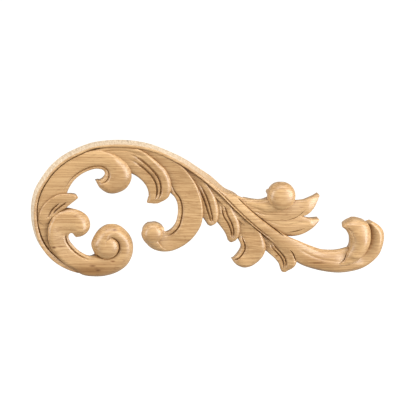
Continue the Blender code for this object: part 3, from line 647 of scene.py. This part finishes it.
# %% The end lobe
carve(
    "end_lobe",
    left=[
        (100.5, -7.4), (96.0, -9.2), (93.0, -12.0), (95.8, -14.4), (97.9, -17.9),
        (99.4, -22.2), (99.6, -26.8), (97.8, -31.2), (96.0, -35.2), (92.0, -39.0),
    ],
    right=[
        (104.2, -7.4), (108.0, -8.4), (110.8, -10.0), (112.6, -13.4), (113.4, -18.0),
        (113.3, -23.0), (111.9, -28.0), (109.0, -32.8), (105.0, -36.8), (98.5, -40.0),
    ],
    rise=[
        (0, 8.6, 9.2, 9.0), (2, 9.6, 12.8, 11.4), (5, 11.2, 15.6, 13.4), (7, 11.4, 14.8, 12.8),
        (8, 11.2, 13.2, 12.2), (9, 10.8, 11.8, 11.2),
    ],
    grooves=[("left", 2.0, 2.0, 1.6, 5.4, 1.5, 0.5)],
    rounds=[(0, 1.5, 1.5), (2, 1.2, 4.0), (5, 1.4, 5.0), (9, 1.0, 2.4)],
    foot=[(0, -3, -1.0), (3, -2.6, 0), (6, -2.0, 0), (9, 0, 0)],
)

# %% [markdown]
# The bed of the spine's groove
# Between the bead of the spine and the leaves there is a narrow groove. A low strip of wood under it
# closes any gap that two curved edges would leave.

# %% Groove bed
BED_REACH = 3.5
BED_SINK = 1.5
BED_END = 29
pairs = [(Vector(left), Vector(right)) for left, right in zip(SPINE["left"], SPINE["right"])][:BED_END + 1]
bed_levels = [between(SPINE["rise"], station)[2] - BED_SINK for station in range(BED_END + 1)]
carve(
    "bed",
    left=[0.5 * (left + right) for left, right in pairs],
    right=[right + (right - left).normalized() * BED_REACH for left, right in pairs],
    rise=[(station, level, level, level) for station, level in enumerate(bed_levels)],
)

# %% [markdown]
# The bud's stalk
# The round bud doesn't sit on the leaf like a ball. The leaf swells up into it from the left, so a short
# ramp is carved under its lower left side and only its right side keeps a crease.

# %% The bud's stalk
carve(
    "bud_stalk",
    left=[(22.0, 6.8), (29.0, 6.0), (35.0, 6.4), (40.0, 8.6), (44.0, 12.0)],
    right=[(24.0, 2.5), (31.0, 0.2), (38.0, -1.6), (44.0, -1.4), (49.0, 1.0)],
    rise=[(0, 8.4, 9.2, 8.6), (2, 9.4, 11.2, 9.4), (4, 13.0, 14.2, 10.5)],
    rounds=[(0, 0.8, 0.8), (4, 0.8, 0.8)],
    foot=[(0, 0, 0), (2, -1.5, 0), (4, -1.5, 0)],
)

# %% [markdown]
# Round buds
# The buds and the eye of the scroll are round, so half of their outline is spun about their own axis, which
# gives rounder forms than a bent grid. use_merge closes the seam of a full turn. BLUNT is below 1, so a bud
# is flatter on top and steeper at its side than a ball, as a carved one is.

# %% Buds
KNOB_SIDES = 72
KNOB_RINGS = 20
BLUNT = 0.74


def turn_knob(name, x, z, radius, foot, side, top):
    mesh = bmesh.new()
    behind = -(BEHIND + STAGGER * len(blanks))
    profile = [(0.0, behind), (foot, behind), (radius, side)]
    for ring in range(1, KNOB_RINGS):
        angle = 0.5 * math.pi * ring / KNOB_RINGS
        profile.append((radius * math.cos(angle) ** BLUNT, side + (top - side) * math.sin(angle) ** BLUNT))
    profile.append((0.0, top))
    corners = [mesh.verts.new(Vector((x + out, -height, z)) * MM) for out, height in profile]
    edges = [mesh.edges.new(pair) for pair in zip(corners, corners[1:])]
    bmesh.ops.spin(mesh, geom=corners + edges, cent=Vector((x, 0, z)) * MM, axis=(0, 1, 0),
                   angle=2 * math.pi, steps=KNOB_SIDES, use_merge=True)
    bmesh.ops.remove_doubles(mesh, verts=mesh.verts, dist=TIP_MERGE * MM)
    bmesh.ops.recalc_face_normals(mesh, faces=mesh.faces)
    add_object(name, mesh)


turn_knob("upper_bud", 47.1, 10.3, 9.9, 6.7, 8.0, 16.4)
turn_knob("small_curl", 39.7, 11.2, 2.3, 1.4, 9.4, 12.6)
turn_knob("scroll_bud_cap", -42.1, -16.6, 7.2, 5.0, 7.2, 13.8)
turn_knob("scroll_eye", -73.3, -26.6, 8.4, 8.4, 7.0, 13.4)

# %% [markdown]
# One piece of wood
# The leaves are fused with Boolean unions, because the real ornament is one piece: every crease is where
# two surfaces of the same wood meet. The MANIFOLD solver suits closed solids that overlap as these do;
# the usual one loses some of them here.

# %% Fuse the leaves
def boolean(whole, other, operation):
    change = whole.modifiers.new("boolean", "BOOLEAN")
    change.operation = operation
    change.solver = "MANIFOLD"
    change.object = other
    evaluated = whole.evaluated_get(bpy.context.evaluated_depsgraph_get())
    result = bpy.data.meshes.new_from_object(evaluated)
    whole.modifiers.clear()
    whole.data = result
    bpy.data.objects.remove(other)


applique, *others = blanks
applique.name = "carved_scroll"
for blank in others:
    boolean(applique, blank, "UNION")
print("fused into one solid:", len(applique.data.polygons), "faces")

# %% [markdown]
# A V tool
# The finest cuts come last, as they do on the bench. A V tool leaves a narrow groove with two straight
# sides. The cutter is a narrow sheet with that V across it, bent along the groove's line and drawn
# forward into the air in front of the ornament, and a Boolean difference takes away all that it passes
# through. V_PROFILE holds the V as (offset sideways, height above its bottom). Depths below the surface are
# given at stations, and a minus sign lifts the tool out of the wood.

# %% V tool
V_PROFILE = [(-0.9, 1.6), (-0.55, 1.3), (-0.25, 0.7), (0.0, 0.0), (0.25, 0.7), (0.55, 1.3), (0.9, 1.6)]
NEARBY = 0.05
IN_THE_AIR = 30


def v_tool(name, path, rise, depths):
    first, last = depths[0][0], depths[-1][0]
    mesh = bmesh.new()
    rows = round((last - first) * ROWS)
    bmesh.ops.create_grid(mesh, x_segments=len(V_PROFILE) - 1, y_segments=rows, size=1)
    verts = iter(mesh.verts)
    for row in range(rows + 1):
        station = first + (last - first) * row / rows
        here = on_curve(path, station)
        ahead = (on_curve(path, station + NEARBY) - on_curve(path, station - NEARBY)).normalized()
        sideways = Vector((ahead.y, -ahead.x))
        bottom = between(rise, station)[2] - between(depths, station)[0]
        for offset, above in V_PROFILE:
            place = here + sideways * offset
            next(verts).co = Vector((place.x, -bottom - above, place.y)) * MM
    copy = bmesh.ops.extrude_face_region(mesh, geom=mesh.faces[:], use_keep_orig=True)
    for part in copy["geom"]:
        if isinstance(part, bmesh.types.BMVert):
            part.co.y = -IN_THE_AIR * MM
    bmesh.ops.recalc_face_normals(mesh, faces=mesh.faces)
    return add_object(name, mesh)


print("the V is", round(V_PROFILE[-1][0] - V_PROFILE[0][0], 1), "mm wide at its mouth")

# %% [markdown]
# The groove beside the spine
# The bead of the spine stands clear of the leaves because one long groove follows its inner edge. It
# fades at both ends and nearly stops over the top of the big scroll.

# %% The groove beside the spine
SPINE_GROOVE = [(2.2, -0.5), (4.5, 0.8), (9, 1.0), (13, 0.4), (19, 0.3), (22, 0.9), (28, 1.1), (29, -0.6)]
groove = v_tool("spine_groove", SPINE["right"], SPINE["rise"], SPINE_GROOVE)
boolean(applique, groove, "DIFFERENCE")
print("with the long groove:", len(applique.data.polygons), "faces")

# %% [markdown]
# Short creases
# Where one form passes behind another, the carver deepens the line between them so that it reads as a
# shadow. A crease is given as (height of the surface round it, its line, depths along the line). The last
# one follows the outside of the lower scroll, just clear of its edge.

# %% Short creases
CLEAR = 0.3
outside = [
    Vector(left) + (Vector(left) - Vector(right)).normalized() * (SPREAD + CLEAR)
    for left, right in zip(SCROLL["left"], SCROLL["right"])
]
CREASES = {
    "stem_crease": (
        10.0,
        [(14.0, 11.2), (15.4, 9.9), (23.4, 2.4), (31.3, -4.2), (38.2, -9.3), (44.5, -13.9), (50.3, -18.0)],
        [(0.5, -1.5), (1.5, 0.2), (3.0, 1.0), (5.0, 0.8), (6.0, -1.0)],
    ),
    "tongue_crease": (
        10.4, [(55.9, -28.5), (57.9, -30.8), (59.3, -33.6), (60.7, -36.4)],
        [(0, -0.6), (1.5, 0.5), (3, 0.9)],
    ),
    "lobe_crease": (
        10.2, [(98.4, -27.0), (97.3, -31.0), (95.9, -35.5), (94.0, -37.2), (91.8, -38.8)],
        [(0, 0.2), (1.5, 1.0), (4, -0.6)],
    ),
    "upper_ridge": (
        9.6, [(50.6, -7.4), (54.5, -6.5), (58.5, -5.2), (62.3, -2.4), (66.0, 1.6)],
        [(0, -0.3), (1.5, 0.7), (3.0, 0.6), (4, -0.4)],
    ),
    "lower_ridge": (
        9.6, [(52.8, -15.7), (57.3, -15.3), (61.8, -14.3), (66.2, -12.6)],
        [(0, -0.3), (1.5, 0.5), (3, -0.3)],
    ),
    "scroll_crease": (8.6, outside, [(6.6, -1.2), (8.5, 0.9), (12.0, 0.7), (13.6, -1.2)]),
}
for name, (level, path, depths) in CREASES.items():
    flat = [(0, level, level, level), (len(path), level, level, level)]
    boolean(applique, v_tool(name, path, flat, depths), "DIFFERENCE")
print("creases cut:", len(CREASES))

# %% [markdown]
# The flat back
# Every solid runs out behind the back, so one cut with a plane makes the whole back flat, as a planer
# would, and the open rim that the cut leaves is filled. Edges sharper than 50 degrees stay sharp, and the
# rest is shaded smooth.

# %% Plane the back
SHARP = 50
mesh = bmesh.new()
mesh.from_mesh(applique.data)
cut = bmesh.ops.bisect_plane(mesh, geom=mesh.verts[:] + mesh.edges[:] + mesh.faces[:], plane_co=(0, 0, 0),
                             plane_no=(0, 1, 0), clear_outer=True, dist=1e-7)
rim = [edge for edge in cut["geom_cut"] if isinstance(edge, bmesh.types.BMEdge)]
bmesh.ops.triangle_fill(mesh, use_beauty=True, use_dissolve=False, edges=rim)
bmesh.ops.recalc_face_normals(mesh, faces=mesh.faces)
mesh.to_mesh(applique.data)
open_edges = sum(not edge.is_manifold for edge in mesh.edges)
mesh.free()
applique.data.shade_smooth()
applique.data.set_sharp_from_angle(angle=math.radians(SHARP))
print("one piece:", len(applique.data.polygons), "faces,", open_edges, "open edges")

# %% [markdown]
# A material from small parts
# Wood is several patterns laid over each other: broad bands, fine grain, flecks and marks, with painted
# light and shade over them. Four helpers make the nodes for them. Each pattern reads Object coordinates
# in metres, so it has a real size and stays with the piece when that moves. A stretched mapping turns
# round spots into streaks, and shifts them to their place.

# %% Helpers for the wood
WHITE = (1, 1, 1)
BLACK = (0, 0, 0)
material = bpy.data.materials.new("carved beech")
material.use_nodes = True
nodes, links = material.node_tree.nodes, material.node_tree.links
shader = nodes["Principled BSDF"]
place = nodes.new("ShaderNodeTexCoord")


def stretched(scale, shift=(0, 0, 0)):
    mapping = nodes.new("ShaderNodeMapping")
    mapping.inputs["Scale"].default_value = scale
    mapping.inputs["Location"].default_value = shift
    links.new(place.outputs["Object"], mapping.inputs["Vector"])
    return mapping.outputs["Vector"]


def noise(scale, detail, roughness):
    texture = nodes.new("ShaderNodeTexNoise")
    texture.inputs["Scale"].default_value = 1.0
    texture.inputs["Detail"].default_value = detail
    texture.inputs["Roughness"].default_value = roughness
    links.new(stretched(scale), texture.inputs["Vector"])
    return texture.outputs["Fac"]


def ramp(factor, *stops):
    colours = nodes.new("ShaderNodeValToRGB")
    elements = colours.color_ramp.elements
    for stop, (position, colour) in enumerate(stops):
        element = elements[stop] if stop < len(elements) else elements.new(position)
        element.position = position
        element.color = (*colour, 1)
    links.new(factor, colours.inputs["Fac"])
    return colours.outputs["Color"]


def mix(kind, factor, first, second):
    blend = nodes.new("ShaderNodeMix")
    blend.data_type = "RGBA"
    blend.blend_type = kind
    if isinstance(factor, float):
        blend.inputs["Factor"].default_value = factor
    else:
        links.new(factor, blend.inputs["Factor"])
    links.new(first, blend.inputs["A"])
    links.new(second, blend.inputs["B"])
    return blend.outputs["Result"]


print("helpers ready for the", shader.name)

# %% [markdown]
# Pale beech
# Beech is pale tan, with broad bands that hardly differ, fine straight grain and short darker flecks. The
# grain runs along X, so all three noises are stretched that way: a small scale along X gives long
# streaks.

# %% Colour and grain
broad = ramp(noise((9, 45, 45), 3, 0.5), (0.3, (0.370, 0.223, 0.098)), (0.7, (0.470, 0.301, 0.142)))
fine = ramp(noise((16, 420, 1500), 3, 0.6), (0.42, (0.60, 0.50, 0.39)), (0.58, WHITE))
flecks = ramp(noise((170, 1500, 1500), 2, 0.5), (0.60, WHITE), (0.70, (0.55, 0.44, 0.33)))
wood = mix("MULTIPLY", 0.7, broad, fine)
wood = mix("MULTIPLY", 0.6, wood, flecks)
print("nodes in the grain:", len(nodes))

# %% [markdown]
# End grain and painted light on the wall of the big scroll
# The wall round the big scroll is finely hatched instead of streaked, as wood cut across the grain is,
# and it is painted paler, which stands for the light from above that falls on it. Three masks pick it
# out. The wall is where the surface turns neither to the front nor to the back. It lies outside an oval
# of about 88 by 84 mm, centred 60 mm left of the origin, which a stretched mapping makes a circle. It
# fades out along the stem, from 30 mm left of the origin to 14 mm right of it.

# %% End grain and painted light
normal = nodes.new("ShaderNodeSeparateXYZ")
links.new(place.outputs["Normal"], normal.inputs["Vector"])
facing = nodes.new("ShaderNodeMath")
facing.operation = "ABSOLUTE"
links.new(normal.outputs["Y"], facing.inputs[0])
upright = ramp(facing.outputs["Value"], (0.24, WHITE), (0.38, BLACK))
reach = nodes.new("ShaderNodeVectorMath")
reach.operation = "LENGTH"
links.new(stretched((9.6, 0, 10.0), (0.58, 0, 0.0)), reach.inputs[0])
outer = ramp(reach.outputs["Value"], (0.40, BLACK), (0.44, WHITE))
along = nodes.new("ShaderNodeSeparateXYZ")
links.new(stretched((-12.5, 1, 1), (0.625, 0, 0)), along.inputs["Vector"])
before_bud = ramp(along.outputs["X"], (0.45, BLACK), (1.0, WHITE))
end_grain_and_painted_light = mix("MULTIPLY", 1.0, mix("MULTIPLY", 1.0, upright, outer), before_bud)
hatch = ramp(noise((900, 250, 900), 4, 0.6), (0.35, (0.40, 0.29, 0.18)), (0.65, (0.58, 0.46, 0.32)))
# painted light: the paler hatch stands partly for light from above on the wall, and partly for end grain
wood = mix("MIX", end_grain_and_painted_light, wood, hatch)
print("nodes with the end grain:", len(nodes))

# %% [markdown]
# Knots, darker marks and painted shade
# No board is even. Short brown streaks lie near the foot of the lower scroll, and a nick marks the rim.
# Two broad darker patches are painted shade, over the lower part of the lower scroll's arm and of the
# tail, which get less of the light from above. Each is an oval that fades into the wood, and its colour
# multiplies what lies under it. A mark is (x, z, half its length, half its height, share of it that is
# fully dark, colour), in millimetres.

# %% Marks and painted shade
DARK = (0.4, 0.27, 0.16)
BROWN = (0.5, 0.35, 0.2)
STREAK = (0.5, 0.36, 0.22)
MARKS_AND_PAINTED_SHADE = [
    # the first entry is painted shade over the lower part of the lower scroll's arm
    (-84.0, -43.5, 26.0, 7.5, 0.1, (0.60, 0.49, 0.34)), (-110.5, -26.0, 2.2, 1.2, 0.2, (0.35, 0.22, 0.12)),
    (-105.5, -25.5, 5.0, 0.8, 0.1, STREAK), (-83.0, -39.5, 3.0, 0.9, 0.2, DARK),
    (-79.0, -42.7, 2.4, 0.9, 0.2, DARK), (-69.0, -36.2, 2.2, 0.8, 0.2, (0.45, 0.3, 0.18)),
    (-69.0, -13.7, 1.8, 0.9, 0.2, BROWN), (47.0, -33.3, 1.6, 1.1, 0.2, BROWN),
    # the second entry below is painted shade over the lower part of the tail
    (76.0, -37.8, 8.0, 0.9, 0.1, STREAK), (76.0, -37.0, 18.0, 8.0, 0.1, (0.82, 0.74, 0.63)),
    (-61.5, 48.0, 0.9, 1.6, 0.3, (0.2, 0.15, 0.1)),
]
for x, z, length, height, core, colour in MARKS_AND_PAINTED_SHADE:
    distance = nodes.new("ShaderNodeVectorMath")
    distance.operation = "LENGTH"
    stretch = Vector((1 / length, 0, 1 / height)) / MM
    links.new(stretched(stretch, (-x / length, 0, -z / height)), distance.inputs[0])
    wood = mix("MULTIPLY", 1.0, wood, ramp(distance.outputs["Value"], (core, colour), (1.0, WHITE)))
print("marks:", len(MARKS_AND_PAINTED_SHADE))

# %% [markdown]
# Painted shade in the creases, and sheen
# The creases are painted darker than open wood, as painted shade. Ambient occlusion measures how
# closed in a point is within a few millimetres, and the colour darkens with it. A weak bump gives the faint
# ridges of the grain, and a thin coat over a half-rough surface gives the satin of rubbed wood.

# %% Painted crease shade and sheen
CREASE_REACH = 0.0042
shade = nodes.new("ShaderNodeAmbientOcclusion")
shade.inputs["Distance"].default_value = CREASE_REACH
shade.only_local = True
# painted shade: the colour darkens where ambient occlusion finds the surface closed in
crease = ramp(shade.outputs["AO"], (0.25, (0.40, 0.27, 0.16)), (0.60, (0.78, 0.67, 0.55)), (0.90, WHITE))
wood = mix("MULTIPLY", 0.9, wood, crease)
links.new(wood, shader.inputs["Base Color"])
bump = nodes.new("ShaderNodeBump")
bump.inputs["Strength"].default_value = 0.35
bump.inputs["Distance"].default_value = 0.0002
links.new(noise((80, 1200, 1200), 3, 0.6), bump.inputs["Height"])
links.new(bump.outputs["Normal"], shader.inputs["Normal"])
shader.inputs["Roughness"].default_value = 0.40
shader.inputs["Coat Weight"].default_value = 0.14
shader.inputs["Coat Roughness"].default_value = 0.2
applique.data.materials.clear()
applique.data.materials.append(material)
print("material:", applique.data.materials[0].name, "with", len(nodes), "nodes")

# %% [markdown]
# Soft lights
# The photograph is bright and nearly without shadow, with a tall light on each side, which draws the
# upright streaks on the round forms, and a wide one above.

# %% Soft lights
def soft_light(name, place, size, power):
    data = bpy.data.lights.new(name, "AREA")
    data.shape = "RECTANGLE"
    data.size, data.size_y = size
    data.energy = power
    light = bpy.data.objects.new(name, data)
    light.location = place
    light.rotation_euler = (Vector(place)).to_track_quat("Z", "Y").to_euler()
    bpy.context.collection.objects.link(light)


soft_light("right softbox", (0.76, -0.58, 0.12), (0.70, 0.9), 18)
soft_light("left softbox", (-0.85, -0.34, 0.12), (0.4, 0.9), 9)
soft_light("top softbox", (0.0, -0.25, 0.9), (1.2, 0.4), 9)

# %% [markdown]
# Room light and floor
# A white world fills the shadows, as white walls do. The floor glows a little, so that it looks as pale
# as the background, and it is hidden from the rays that light the wood, or it would brighten the
# undersides.

# %% Room and floor
FLOOR_DEPTH = 0.6
FLOOR_REACH = 12
world = bpy.data.worlds.new("studio")
bpy.context.scene.world = world
world.use_nodes = True
sky = world.node_tree.nodes["Background"]
sky.inputs["Color"].default_value = (1, 1, 1, 1)
sky.inputs["Strength"].default_value = 0.48
bpy.context.scene.view_settings.view_transform = "Standard"

mesh = bmesh.new()
bmesh.ops.create_grid(mesh, x_segments=1, y_segments=1, size=FLOOR_REACH)
for vert in mesh.verts:
    vert.co.z = -FLOOR_DEPTH
floor_data = bpy.data.meshes.new("floor")
mesh.to_mesh(floor_data)
mesh.free()
floor = bpy.data.objects.new("floor", floor_data)
bpy.context.collection.objects.link(floor)
pale = bpy.data.materials.new("pale floor")
pale.use_nodes = True
paint = pale.node_tree.nodes["Principled BSDF"]
paint.inputs["Base Color"].default_value = (0.9, 0.9, 0.9, 1)
paint.inputs["Emission Color"].default_value = (1, 1, 1, 1)
paint.inputs["Emission Strength"].default_value = 0.6
floor_data.materials.append(pale)
floor.visible_diffuse = False
floor.visible_glossy = False
print("floor", FLOOR_DEPTH, "m below the ornament")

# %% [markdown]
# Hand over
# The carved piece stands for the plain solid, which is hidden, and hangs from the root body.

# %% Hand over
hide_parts("scroll_applique")
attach(applique, "root")
bpy.context.view_layer.update()
